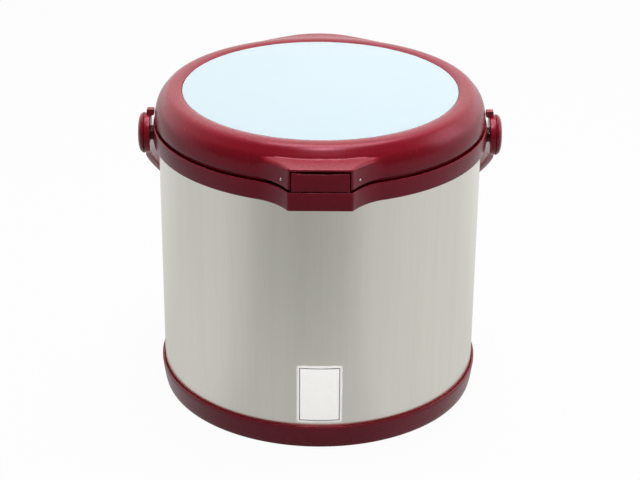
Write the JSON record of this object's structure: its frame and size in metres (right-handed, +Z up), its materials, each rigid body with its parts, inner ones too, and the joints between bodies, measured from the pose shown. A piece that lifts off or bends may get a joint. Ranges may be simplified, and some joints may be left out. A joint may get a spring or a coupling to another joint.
{
  "type": "thermal cooker",
  "caption": "Insulated steel cooking vessel with a hinged lid, front press latch, folding carrying handle, plastic collar and base ring, and a lidded inner pot that lifts out.",
  "frame": {"origin": "on the ground plane under the centre of the vessel, at the centre of the bounding box's bottom", "axes": "+Z up, -Y towards the latch at the front, +X to the right as seen from the front; the bail's pivots lie on the X axis direction"},
  "size_m": [0.316, 0.316, 0.2777],
  "materials": {
    "maroon_plastic": "satin moulded maroon plastic",
    "dark_plastic": "matt dark plastic",
    "disc_plastic": "smooth pale plastic insert",
    "brushed_steel": "vertically brushed",
    "polished_steel": "polished stainless steel",
    "insulating_foam": "rigid insulating foam",
    "foot_rubber": "matt",
    "silicone": "soft satin",
    "knob_plastic": "heat-resistant, satin"
  },
  "bodies": {
    "vessel": {"base_ring": "maroon_plastic", "base_plate": "dark_plastic", "foot_rear_right": "foot_rubber", "foot_rear_left": "foot_rubber", "foot_front_left": "foot_rubber", "foot_front_right": "foot_rubber", "base_screw_right": "polished_steel", "base_screw_rear": "polished_steel", "base_screw_left": "polished_steel", "base_screw_front": "polished_steel", "outer_shell": "brushed_steel", "vessel_foam": "insulating_foam", "inner_liner": "polished_steel", "collar": "maroon_plastic", "catch_plate": "polished_steel", "hinge_pin": "polished_steel", "pivot_washer_left": "dark_plastic", "pivot_washer_right": "dark_plastic", "pivot_screw_left": "polished_steel", "pivot_screw_right": "polished_steel"},
    "lid": {"lid_cover": "maroon_plastic", "lid_disc": "disc_plastic", "lid_foam": "insulating_foam", "lid_liner": "polished_steel", "lid_gasket": "silicone", "lid_screw_rear_right": "polished_steel", "lid_screw_rear_left": "polished_steel", "lid_screw_front_left": "polished_steel", "lid_screw_front_right": "polished_steel", "latch_pin": "polished_steel", "latch_spring": "polished_steel"},
    "latch": {"latch_lever": "maroon_plastic"},
    "bail": {"bail_handle": "maroon_plastic", "hub_cap_left": "maroon_plastic", "hub_cap_right": "maroon_plastic"},
    "pot": {"pot_body": "polished_steel", "pot_base_disc": "brushed_steel", "pot_handle_left": "polished_steel", "pot_handle_right": "polished_steel", "pot_rivet_right_front": "polished_steel", "pot_rivet_right_rear": "polished_steel", "pot_rivet_left_rear": "polished_steel", "pot_rivet_left_front": "polished_steel"},
    "pot_cover": {"pot_lid": "polished_steel", "pot_lid_knob": "knob_plastic", "knob_screw": "polished_steel"}
  },
  "joints": [
    {"name": "lid_hinge", "type": "hinge", "parent": "vessel", "child": "lid", "pos_m": [0, 0.153, 0.2463], "axis": [-1, 0, 0], "range_deg": [0, 95]},
    {"name": "latch_press", "type": "hinge", "parent": "lid", "child": "latch", "pos_m": [0, -0.149, 0.2553], "axis": [-1, 0, 0], "range_deg": [0, 8], "stiffness_Nm_per_rad": 0.6, "springref_deg": -5.73, "deforming": ["latch_spring"]},
    {"name": "bail_swing", "type": "hinge", "parent": "vessel", "child": "bail", "pos_m": [0, 0, 0.2343], "axis": [1, 0, 0], "range_deg": [0, 270]},
    {"name": "pot_lift", "type": "slide", "parent": "vessel", "child": "pot", "axis": [0, 0, 1], "range_m": [0, 0.004]},
    {"name": "pot_cover_lift", "type": "slide", "parent": "pot", "child": "pot_cover", "axis": [0, 0, 1], "range_m": [0, 0.006]}
  ]
}
